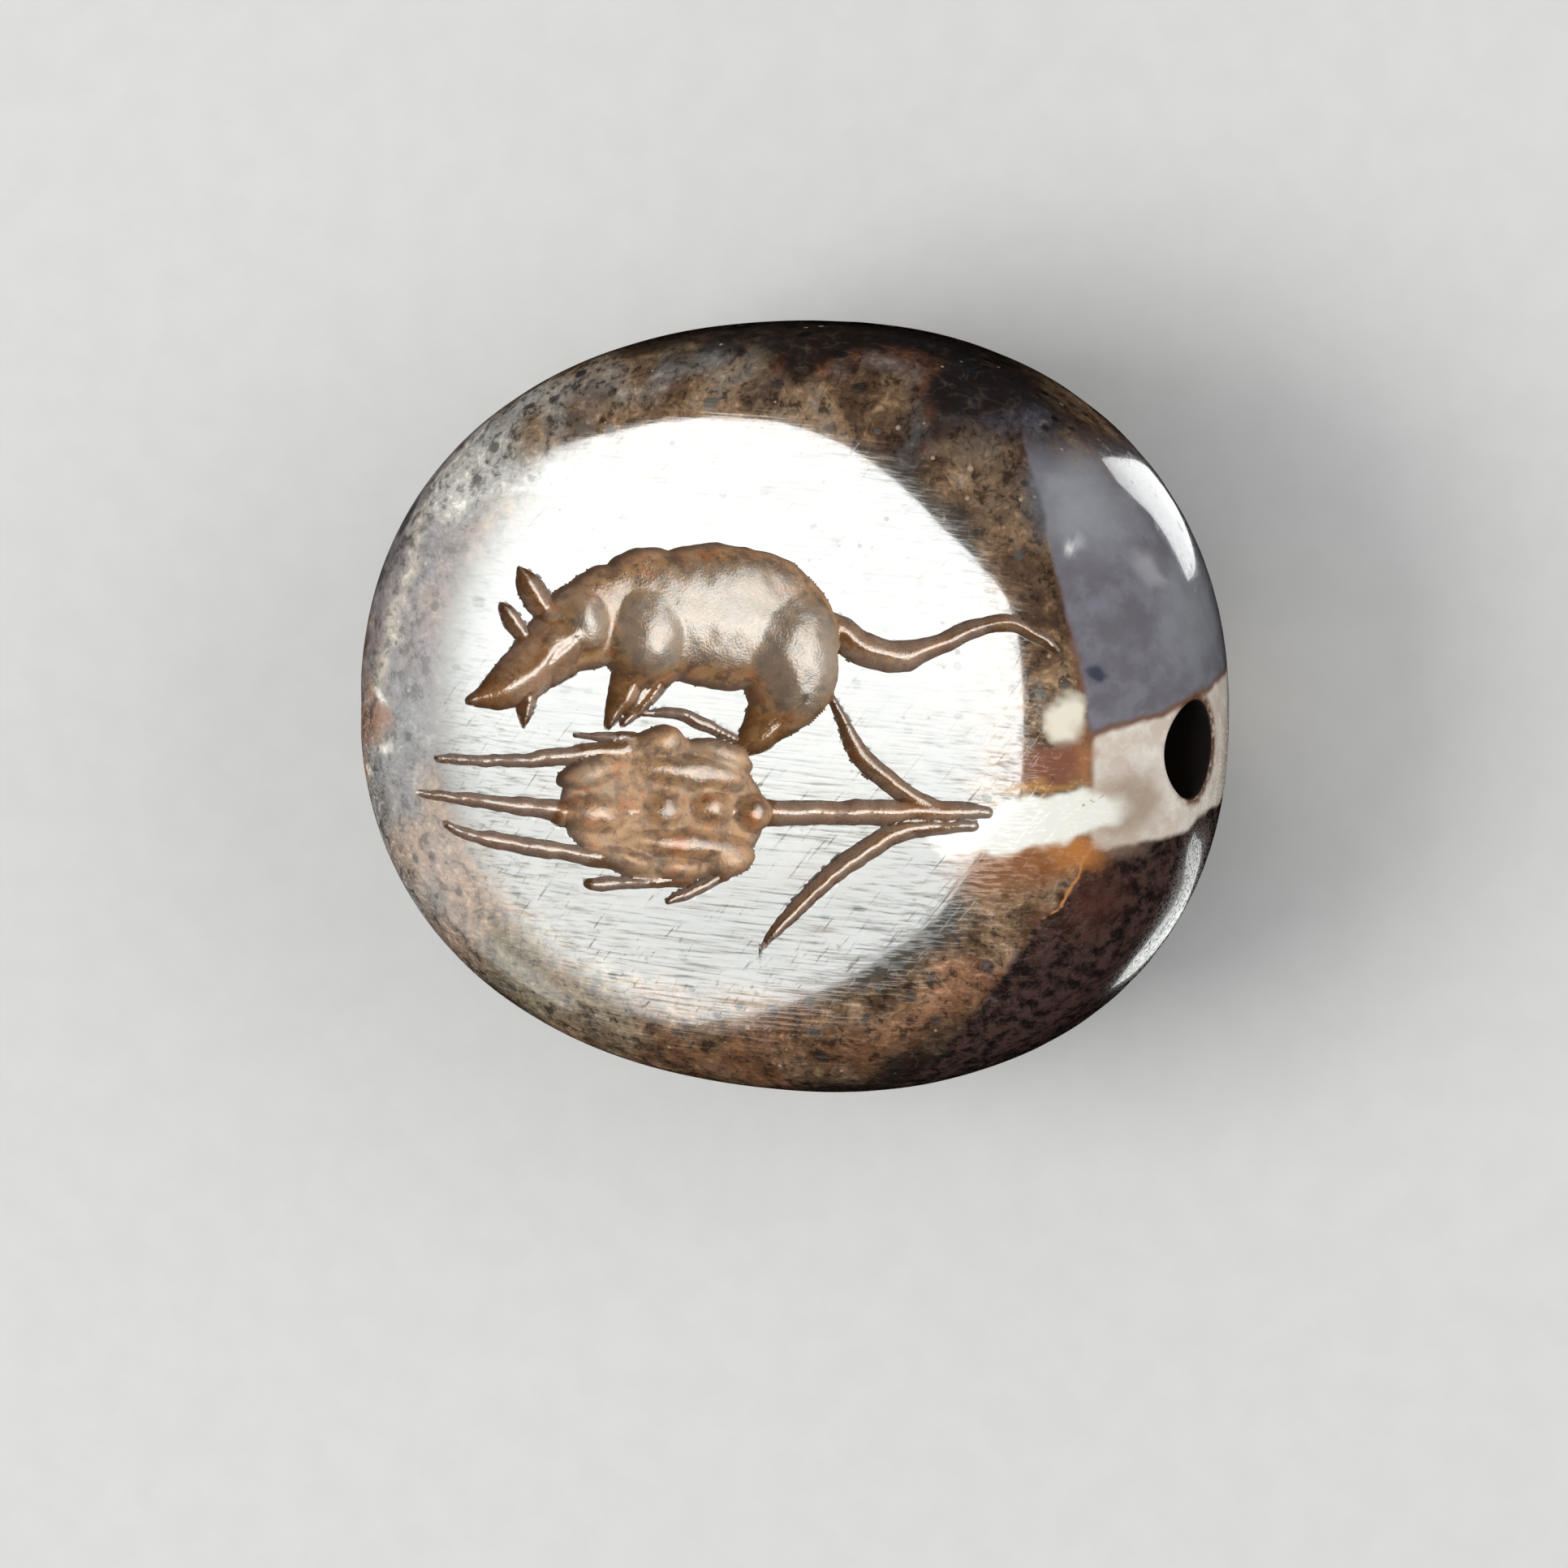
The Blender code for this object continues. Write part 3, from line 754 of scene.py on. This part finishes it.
def stone_material(colours, polish):
    """Mottled, banded and worn chalcedony, polished outside and ground inside the cuts."""
    material, graph, shader = new_material("mottled_chalcedony")
    math, times, span, mix, noise = graph.math, graph.times, graph.span, graph.mix, graph.noise
    side, hairline, speck, swirl, streak = (
        make() for make in (side_group, hairline_group, speck_group, swirl_group, streak_group))

    place = graph.millimetres()
    slow = noise(place, 0.6, 3.0, 0.62, "Color")
    loose = graph.moved(place, slow, 2.0)
    edged = graph.moved(place, slow, 0.5)
    crisp = graph.moved(place, noise(place, 2.4, 2.0, out="Color"), 0.22)

    # The brown body: clouds, patches, agate lines, grain and specks.
    clouds = noise(loose, 0.55, 5.0, 0.66)
    body = graph.ramp(clouds, (
        (0.32, opaque(colours.dark_brown)), (0.43, tone(92, 70, 52)), (0.5, opaque(colours.brown)),
        (0.57, opaque(colours.tan)), (0.66, tone(126, 118, 108)),
    ))
    patches = graph.field("body_tint")
    body = mix(patches["Alpha"], body, patches["Color"])
    curls = graph.group(swirl, loose, Scale=0.75, Lines=9.0)
    mottle = noise(edged, 2.8, 6.0, 0.74)
    body = graph.layered(
        body, (span(curls, 0.55, 1.0, 0.0, 0.3), 44, 32, 27),
        (span(curls, 0.3, 0.0, 0.0, 0.08), 166, 136, 106),
        (span(mottle, 0.5, 0.62, 0.0, 0.8), 40, 29, 23))
    lighter = graph.vector("MULTIPLY", body, PALE_GRAIN)
    body = mix(span(mottle, 0.47, 0.36, 0.0, 0.7), body, lighter)
    dots = graph.group(speck, crisp, Cells=1.7, Size=0.3, Share=0.45)
    flecks = graph.group(speck, place, Cells=3.4, Size=0.22, Share=0.14)
    level = graph.add("ShaderNodeSeparateXYZ", {0: place}).outputs
    # Painted reflection: the top of the face is greyed to the tone of the soft box's glare on it.
    painted_glare_grey = times(span(level[2], *GREYED_UP), span(level[0], *GREYED_ALONG))
    body = graph.layered(body, (times(dots, 0.85), 24, 19, 17),
                         (times(flecks, 0.6), 196, 174, 150),
                         (times(painted_glare_grey, 0.85), 78, 78, 74))

    # The bands at the +X end, each bounded by flat sides.
    depth_of = {name: graph.group(side, edged, Facing=facing, Offset=offset)
                for name, (facing, offset) in BAND_SIDES.items()}
    grain = noise(edged, 1.4, 4.0, 0.6)
    dark = mix(span(mottle, 0.4, 0.6), tone(80, 58, 52), tone(28, 22, 20))
    dark_depth = graph.least(depth_of["dark_above"], depth_of["dark_left"])
    colour = mix(span(dark_depth, -0.1, 0.14), body, dark)
    pale = mix(span(grain, 0.36, 0.64), tone(222, 206, 190), opaque(colours.pale_band))
    pale_depth = graph.least(depth_of["pale_left"], *(
        times(depth_of[name], -1.0) for name in ("grey_below", "dark_above")))
    colour = mix(span(pale_depth, -0.09, 0.09), colour, pale)
    grey = mix(span(grain, 0.36, 0.66), opaque(colours.grey_band), tone(132, 130, 138))
    grey_depth = graph.least(
        depth_of["grey_left"], depth_of["grey_below"], times(depth_of["grey_above"], 0.11))
    outline = times(span(math("ABSOLUTE", grey_depth), 0.0, 0.16, 0.8, 0.0),
                    span(graph.vector("DOT_PRODUCT", place, (0, 1, 0)), 3.4, 0.8))
    colour = mix(span(grey_depth, -0.07, 0.07), colour, grey)
    colour = mix(outline, colour, tone(126, 84, 62))
    patches = graph.field("end_tint")
    colour = mix(patches["Alpha"], colour, patches["Color"])

    cracks, veins, specks, scratches = (
        strongest(graph, hairline, crisp, runs) for runs in (CRACKS, VEINS, SPECKS, SCRATCHES))
    colour = graph.layered(colour, (times(cracks, 0.8), 112, 84, 66),
                           (veins, 206, 140, 84), (specks, 34, 26, 24))

    # The cord hole, painted near black as shade inside it, and the stain round its mouth.
    gaps = []
    for spot, drop in ((place, 0.0), (crisp, STAIN_DROP)):
        away = graph.vector("SUBTRACT", spot, (0, BORE_SIDE, BORE_AXIS - drop))
        gaps.append(graph.vector("LENGTH", graph.vector("MULTIPLY", away, (0, 1, 1))))
    hole = span(gaps[0], *HOLE_EDGE, 1.0, 0.0)
    stain = times(span(gaps[1], *STAIN_EDGE, 0.95, 0.0), span(mottle, 0.38, 0.5, 0.3, 1.0))
    # Painted shade: the inside of the bore is near black.
    colour = graph.layered(colour, (stain, 112, 70, 38), (hole, 20, 11, 7))

    # The carving, from the distance inside its edge and its depth.
    inside, depth, wheel = (
        graph.field(name)["Fac"] for name in ("cut_inside", "cut_depth", "wheel_cut"))
    recess = span(inside, -0.01, 0.03)
    rust = noise(edged, 1.5, 5.0, 0.7)
    ground = graph.layered(
        opaque(colours.recess), (span(mottle, 0.42, 0.6), 94, 64, 38),
        (span(clouds, 0.52, 0.66, 0.0, 0.6), 158, 136, 108),
        (span(rust, 0.52, 0.66, 0.0, 0.8), 170, 104, 50),
        (span(rust, 0.44, 0.34, 0.0, 0.7), 76, 48, 28),
        # Deep floors greyed towards a light beige: partly the stone's own grey, partly a painted
        # highlight where the soft box shines in them.
        (span(depth, 0.55, 0.95, 0.0, 0.62), 134, 126, 112),
        (times(wheel, 0.5), 130, 86, 40),
        # Painted shade: darkest brown along the steep walls just inside a cut's edge, fading out 0.28
        # mm in.
        (span(inside, 0.28, 0.0, 0.0, 0.88), 74, 44, 22))
    colour = mix(times(recess, 0.94), colour, ground)

    # The polish is a clear coat, thinned by streaks, scratches and pits and towards
    # the -X end. In the cuts it is fullest on deep floors and in the wheel's grooves.
    streaks = math("ADD", *(
        graph.group(streak, place, Turn=turn, Length=length, Spacing=spacing, Sparseness=bare)
        for turn, length, spacing, bare in STREAKS))
    streaks = times(streaks, span(level[1], 1.4, -2.4, 0.3, 1.0))
    coat = math("SUBTRACT", FACE_COAT, times(streaks, 0.8))
    coat = times(coat, math("SUBTRACT", 1.0, math("MAXIMUM", scratches, flecks)))
    coat = times(coat, span(level[0], -8.2, -6.3, 0.4, 1.0))
    sanded = noise(place, 16.0, 2.0, 0.6)
    cut_coat = math("MAXIMUM", span(depth, 0.55, 0.95, 0.0, 0.2), times(wheel, 0.45))
    cut_coat = times(cut_coat, span(sanded, 0.6, 0.4, 0.0, 1.0))
    coat = graph.mix_values(recess, coat, cut_coat)
    coat = times(coat, math("SUBTRACT", 1.0, hole))

    rough = math("ADD", span(level[0], -4.6, -8.0, 0.07, 0.3), times(dots, 0.2))
    rough = math("ADD", rough, times(streaks, 0.5))
    cut_rough = span(depth, 0.38, 0.58, 0.66, 0.28)
    rough = graph.mix_values(recess, rough, graph.mix_values(wheel, cut_rough, 0.22))
    rough = math("MAXIMUM", rough, hole)

    height = times(times(sanded, recess), 0.012)
    height = math("ADD", height, times(streaks, -0.002))
    bump = graph.add("ShaderNodeBump", {"Height": height, "Distance": MM, "Strength": 1.0})
    graph.feed(shader, {
        "Base Color": colour, "Normal": bump.outputs[0], "IOR": STONE_IOR,
        "Roughness": rough, "Specular IOR Level": UNDERCOAT_GLOSS,
        "Coat Weight": coat, "Coat Roughness": polish, "Coat IOR": STONE_IOR})
    return material


# Panels of light that only gloss sees, as the corners of their fronts in
# millimetres, their strength, and how the light falls off: an axis, the places
# where it is least and full, and the least share.
SOFT_BOX_PLAN = (
    (22, 12), (20, 23), (7, 34), (-4, 42), (-17, 63), (-33, 86), (-59, 111), (-81, 122), (-103, 126),
    (-130, 124), (-175, 138), (-232, 146), (-330, 170), (-330, -420), (-230, -370), (-190, -330),
    (-130, -262), (-93, -196), (-47, -118),
    (-22, -80), (-6, -60), (2, -42), (8, -31), (22, -25),
)
SOFT_BOX_HEIGHT = 150.0
LOW_CARD_HEIGHT = -60.0
UPPER_CARD_PLAN = (
    (44, 52), (34, 52), (14, 28), (4, 16), (4, 11), (30, 14), (29, 22), (31, 29), (37, 38),
)
LOWER_CARD_PLAN = (
    (29, -17), (11, -18), (0, -17), (4, -30), (13, -32), (17, -25), (21, -22), (30, -20),
)


def level_corners(plan, height):
    """Corners of a level panel from its plan."""
    return [(x, y, height) for x, y in plan]


PANELS = {
    "soft_box": (level_corners(SOFT_BOX_PLAN, SOFT_BOX_HEIGHT), 1.0,
                 ((1, -40.0, 0.0, 0.72), (1, -260.0, -90.0, 0.72), (0, -215.0, -105.0, 0.15))),
    "side_sheet": (((-460, -600, 0), (-460, 220, 0), (-330, 170, 150), (-330, -420, 150)), 0.16, ()),
    "upper_card": (level_corners(UPPER_CARD_PLAN, LOW_CARD_HEIGHT), 0.19, ()),
    "lower_card": (level_corners(LOWER_CARD_PLAN, LOW_CARD_HEIGHT), 0.15, ()),
}

# The floor: its distance under the stone, in millimetres, the share of its colour in
# the dark of its grain, and how fine the grain is, in waves to the metre.
FLOOR_GAP = 0.01
FLOOR_SHADE = 0.97
FLOOR_GRAIN = 900.0

# The two area lights: direction, distance and width in metres.
LAMPS = {"key": ((-0.62, -0.1, 0.78), 0.35, 0.22), "fill": ((0.85, 0.2, 0.5), 0.35, 0.25)}

# Camera: where it looks from as a direction, how it is rolled, its distance from
# the middle of the girth, and where that middle falls in the 1932 pixel frame.
VIEW_TILT = radians(20)
VIEW_RISE = radians(5)
VIEW_ROLL = radians(1.5)
VIEW_DISTANCE = 196.6
FRAME_PIXELS = 1932
PIXELS_PER_MM = 53.25
MIDDLE_PIXEL = (981.6, 869.4)
SENSOR = 36.0


def floor_material(colour):
    """Pale matt board with a barely seen grain."""
    material, graph, shader = new_material("pale_board")
    place = graph.add("ShaderNodeTexCoord").outputs["Object"]
    grain = graph.noise(place, FLOOR_GRAIN, 3.0)
    shade = opaque(FLOOR_SHADE * part for part in colour)
    tinted = graph.mix(graph.span(grain, 0.3, 0.7), shade, opaque(colour))
    graph.feed(shader, {"Base Color": tinted, "Roughness": 0.9, "Specular IOR Level": 0.0})
    return material


def panel_material(name, strength, falls):
    """Light that falls off along the panel's axes, smoothly from full to a least share."""
    material, graph, shader = new_material(name)
    nodes = material.node_tree.nodes
    nodes.remove(shader)
    along = graph.add("ShaderNodeSeparateXYZ", {0: graph.millimetres()}).outputs
    for axis, least_at, full_at, least in falls:
        strength = graph.times(strength, graph.span(along[axis], least_at, full_at, least, 1.0))
    light = graph.add("ShaderNodeEmission", {"Strength": strength, "Color": (0.97, 1.0, 0.98, 1.0)})
    graph.feed(nodes["Material Output"], {"Surface": light.outputs[0]})
    return material


def add_panels(strength):
    """The panels that the polished stone mirrors. Nothing else sees them."""
    for name, (corners, share, falls) in PANELS.items():
        mesh = make_mesh(name, np.array(corners, float), np.arange(len(corners))[None, :])
        panel = add_object(name, mesh, panel_material(name, strength * share, falls))
        for sight in ("camera", "diffuse", "transmission", "shadow"):
            setattr(panel, "visible_" + sight, False)


def add_floor(width, colour):
    """A square sheet just under the stone, which the stone doesn't mirror."""
    half = width / MM / 2
    corners = [(-half, -half), (half, -half), (half, half), (-half, half)]
    mesh = make_mesh("floor", np.array(level_corners(corners, -FLOOR_GAP)), np.arange(4)[None, :])
    floor = add_object("floor", mesh, floor_material(colour))
    floor.visible_glossy = False


def add_area_light(name, direction, distance, size, power):
    """A square area light that looks at the stone from a direction, and that gloss doesn't see."""
    data = bpy.data.lights.new(name, "AREA")
    data.size = size
    data.energy = power
    lamp = add_object(name, data)
    away = Vector(direction).normalized()
    turn = away.to_track_quat("Z", "Y").to_matrix().to_4x4()
    lamp.matrix_world = Matrix.Translation(away * distance) @ turn
    lamp.visible_glossy = lamp.visible_camera = False


def add_camera():
    """The camera of the photograph, with its aim moved by the offset of the girth's middle."""
    out = Vector((sin(VIEW_TILT) * cos(VIEW_RISE), sin(VIEW_RISE), cos(VIEW_TILT) * cos(VIEW_RISE)))
    level = Vector((0, 1, 0)).cross(out).normalized()
    upright = out.cross(level)
    right = cos(VIEW_ROLL) * level + sin(VIEW_ROLL) * upright
    up = cos(VIEW_ROLL) * upright - sin(VIEW_ROLL) * level
    aside, down = ((FRAME_PIXELS / 2 - pixel) / PIXELS_PER_MM for pixel in MIDDLE_PIXEL)
    place = Vector((0, 0, GIRTH)) + out * VIEW_DISTANCE + right * aside - up * down
    data = bpy.data.cameras.new("camera")
    data.sensor_width = SENSOR
    data.lens = SENSOR * VIEW_DISTANCE * PIXELS_PER_MM / FRAME_PIXELS
    data.clip_start = MM
    camera = add_object("camera", data)
    turn = Matrix((right, up, out)).transposed().to_4x4()
    camera.matrix_world = Matrix.Translation(place * MM) @ turn
    bpy.context.scene.camera = camera


def set_world(strength):
    """An even, slightly cool white all round, which the stone doesn't mirror."""
    world = bpy.data.worlds.new("studio")
    world.use_nodes = True
    sky = world.node_tree.nodes["Background"]
    sky.inputs["Color"].default_value = (0.94, 0.97, 1.0, 1.0)
    sky.inputs["Strength"].default_value = strength
    world.cycles_visibility.glossy = False
    bpy.context.scene.world = world


def number(name, description, default, low, high, **settings):
    """A number property with its default and its range."""
    return FloatProperty(
        name=name, description=description, default=default, min=low, max=high, **settings)


def fine_length(name, description, default, low, high):
    """A length property, given in millimetres."""
    return number(name, description, default * MM, low * MM, high * MM, precision=5, unit="LENGTH")


class SealSizes(bpy.types.PropertyGroup):
    bore_radius: fine_length("Bore Radius", "Radius of the cord hole", 1.1, 0.4, 1.6)
    mouth_wear: fine_length("Mouth Wear", "Radius worn on the mouths of the hole", 0.06, 0.02, 0.4)
    carving_depth: number("Carving Depth", "Depth as a share of the cutter's", 1.0, 0.2, 1.1)
    polish: number("Polish", "Roughness of the best polish", 0.04, 0.0, 0.5)
    floor_width: number("Floor Width", "Width of the pale sheet", 6.0, 0.2, 20.0, unit="LENGTH")
    soft_box_light: number("Soft Box Light", "Light that the face mirrors", 12.0, 0.0, 80.0)
    key_power: number("Key Power", "Power of the main soft light", 0.62, 0.0, 20.0, unit="POWER")
    fill_power: number("Fill Power", "Power of the fill light", 0.42, 0.0, 20.0, unit="POWER")
    sky_light: number("Sky Light", "Even light all round", 0.5, 0.0, 4.0)


def paint(name, description, *values):
    """A colour property whose default is a tone."""
    return FloatVectorProperty(name=name, description=description, default=tone(*values)[:3],
                               min=0.0, max=1.0, subtype="COLOR")


class SealColours(bpy.types.PropertyGroup):
    dark_brown: paint("Dark Brown", "Darkest clouds of the body", 64, 48, 40)
    brown: paint("Brown", "Ground colour of the body", 122, 96, 72)
    tan: paint("Tan", "Lightest clouds of the body", 152, 124, 96)
    grey_band: paint("Grey Band", "Purple-grey chalcedony at the end", 114, 110, 116)
    pale_band: paint("Pale Band", "Band that the cord hole opens in", 246, 238, 226)
    recess: paint("Recess", "Ground floor of the carving", 160, 120, 76)
    floor: paint("Floor", "Pale sheet under the stone", 226, 225, 222)


class SEAL_OT_add_stone(bpy.types.Operator):
    """Add the carved stone in place of its plain solid"""
    bl_idname = "seal.add_stone"
    bl_label = "Add Carved Stone"

    def execute(self, context):
        sizes, colours = context.scene.seal_sizes, context.scene.seal_colours
        x, y, z, inside, depth, wheel = stone_surface(
            sizes.bore_radius / MM, sizes.mouth_wear / MM, sizes.carving_depth)
        points = np.clip(np.stack([x.ravel(), y.ravel(), z.ravel()], axis=1), LOW, HIGH)
        body = points + [0, 0, 1] * depth.reshape(-1, 1)
        fields = {"cut_inside": inside.ravel(), "cut_depth": depth.ravel(), "wheel_cut": wheel.ravel(),
                  "body_tint": tint(swirled(body, *BODY_SWIRL), BODY_PATCHES),
                  "end_tint": tint(swirled(body, *END_SWIRL), END_PATCHES)}
        mesh = make_mesh("carved_stone", points, ring_faces(*x.shape), fields)
        mesh.shade_smooth()
        mesh.set_sharp_from_angle(angle=SHARP_ANGLE)
        stone = add_object("carved_stone", mesh, stone_material(colours, sizes.polish))
        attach(stone, "root")
        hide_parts(STONE_NODE)
        return {"FINISHED"}


class SEAL_OT_set_stage(bpy.types.Operator):
    """Set the floor, the lights and the camera of the photograph"""
    bl_idname = "seal.set_stage"
    bl_label = "Set Stage"

    def execute(self, context):
        sizes, colours = context.scene.seal_sizes, context.scene.seal_colours
        add_floor(sizes.floor_width, colours.floor)
        add_panels(sizes.soft_box_light)
        add_area_light("key", *LAMPS["key"], sizes.key_power)
        add_area_light("fill", *LAMPS["fill"], sizes.fill_power)
        set_world(sizes.sky_light)
        add_camera()
        context.scene.view_settings.view_transform = "Standard"
        return {"FINISHED"}


class SEAL_PT_panel(bpy.types.Panel):
    bl_idname = "SEAL_PT_panel"
    bl_label = "Scaraboid Seal"
    bl_space_type = "VIEW_3D"
    bl_region_type = "UI"
    bl_category = "Seal"

    def draw(self, context):
        for group in (context.scene.seal_sizes, context.scene.seal_colours):
            for name in group.__annotations__:
                self.layout.prop(group, name)
        self.layout.operator("seal.add_stone")
        self.layout.operator("seal.set_stage")


CLASSES = (SealSizes, SealColours, SEAL_OT_add_stone, SEAL_OT_set_stage, SEAL_PT_panel)


def register():
    for made in CLASSES:
        bpy.utils.register_class(made)
    bpy.types.Scene.seal_sizes = PointerProperty(type=SealSizes)
    bpy.types.Scene.seal_colours = PointerProperty(type=SealColours)


def unregister():
    del bpy.types.Scene.seal_colours
    del bpy.types.Scene.seal_sizes
    for made in reversed(CLASSES):
        bpy.utils.unregister_class(made)


def main():
    register()
    bpy.ops.seal.add_stone()
    bpy.ops.seal.set_stage()


if __name__ == "__main__":
    main()
